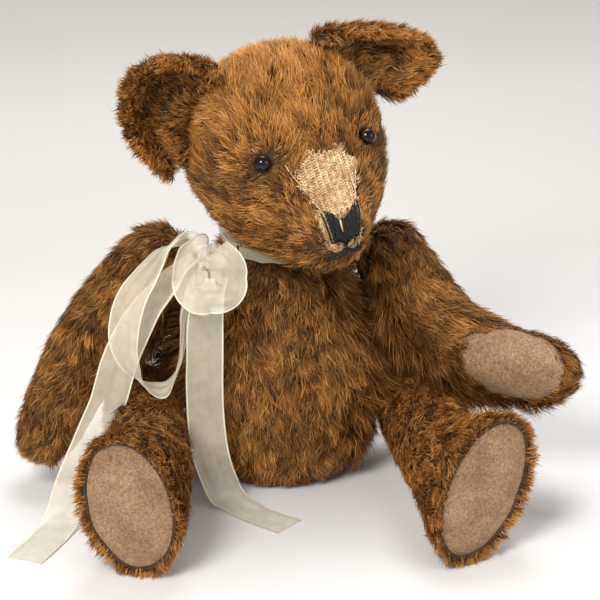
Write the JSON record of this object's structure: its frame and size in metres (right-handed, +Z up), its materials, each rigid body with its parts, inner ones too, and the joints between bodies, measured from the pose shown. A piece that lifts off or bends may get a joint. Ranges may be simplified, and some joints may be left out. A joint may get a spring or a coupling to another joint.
{
  "type": "jointed teddy bear",
  "caption": "Seated brown mohair teddy bear with disc-jointed head, arms and legs, suede pads, glass eyes and a sheer ribbon bow.",
  "frame": {"origin": "centre of the flat seat under the torso", "axes": "+X to the bear's left, +Y to its back, +Z up"},
  "size_m": [0.3699, 0.2296, 0.309],
  "materials": {
    "mohair": "matte",
    "suede": "matte",
    "stuffing": "matte",
    "joint_board": "matte",
    "steel": "satin",
    "eye_glass": "gloss",
    "thread": "satin",
    "ribbon": "satin"
  },
  "bodies": {
    "torso": {"torso_skin_left": "mohair", "torso_skin_right": "mohair", "torso_stuffing": "stuffing", "torso_disc_neck": "joint_board", "torso_disc_shoulder_left": "joint_board", "torso_disc_shoulder_right": "joint_board", "torso_disc_hip_left": "joint_board", "torso_disc_hip_right": "joint_board", "torso_washers": "steel", "ribbon_collar": "ribbon", "ribbon_knot": "ribbon", "ribbon_loop_left": "ribbon", "ribbon_loop_right": "ribbon", "ribbon_tail_left": "ribbon", "ribbon_tail_right": "ribbon"},
    "head": {"head_side_left": "mohair", "head_side_right": "mohair", "head_gusset": "mohair", "head_stuffing": "stuffing", "ear_left_front": "mohair", "ear_left_back": "mohair", "ear_right_front": "mohair", "ear_right_back": "mohair", "eye_left": "eye_glass", "eye_right": "eye_glass", "eye_shanks": "steel", "nose_stitching": "thread", "mouth_stitching": "thread", "head_disc": "joint_board", "head_washer": "steel", "neck_pin": "steel"},
    "arm_left": {"arm_left_skin": "mohair", "arm_left_stuffing": "stuffing", "paw_pad_left": "suede", "arm_left_disc": "joint_board", "arm_left_washer": "steel", "shoulder_pin_left": "steel"},
    "arm_right": {"arm_right_skin": "mohair", "arm_right_stuffing": "stuffing", "paw_pad_right": "suede", "arm_right_disc": "joint_board", "arm_right_washer": "steel", "shoulder_pin_right": "steel"},
    "leg_left": {"leg_left_skin": "mohair", "leg_left_lower_skin": "mohair", "leg_left_stuffing": "stuffing", "foot_pad_left": "suede", "leg_left_disc": "joint_board", "leg_left_washer": "steel", "hip_pin_left": "steel"},
    "leg_right": {"leg_right_skin": "mohair", "leg_right_lower_skin": "mohair", "leg_right_stuffing": "stuffing", "foot_pad_right": "suede", "leg_right_disc": "joint_board", "leg_right_washer": "steel", "hip_pin_right": "steel"}
  },
  "joints": [
    {"name": "neck_turn", "type": "hinge", "parent": "torso", "child": "head", "pos_m": [0, 0, 0.176], "axis": [0, -0.2419, 0.9703], "range_deg": [-30, 60], "deforming": ["ribbon_loop_left", "ribbon_loop_right"]},
    {"name": "shoulder_left", "type": "hinge", "parent": "torso", "child": "arm_left", "pos_m": [0.04933, 0.00162, 0.1344], "axis": [-0.9176, 0, -0.3976], "range_deg": [-3, 60]},
    {"name": "shoulder_right", "type": "hinge", "parent": "torso", "child": "arm_right", "pos_m": [-0.04933, 0.00162, 0.1344], "axis": [-0.9176, 0, 0.3976], "range_deg": [-60, 110], "deforming": ["ribbon_tail_right"]},
    {"name": "hip_left", "type": "hinge", "parent": "torso", "child": "leg_left", "pos_m": [0.06438, -0.00019, 0.0474], "axis": [-0.9915, 0, 0.13], "range_deg": [-90, 0]},
    {"name": "hip_right", "type": "hinge", "parent": "torso", "child": "leg_right", "pos_m": [-0.06438, -0.00019, 0.0474], "axis": [-0.9915, 0, -0.13], "range_deg": [-90, 0], "deforming": ["ribbon_tail_left"]}
  ]
}
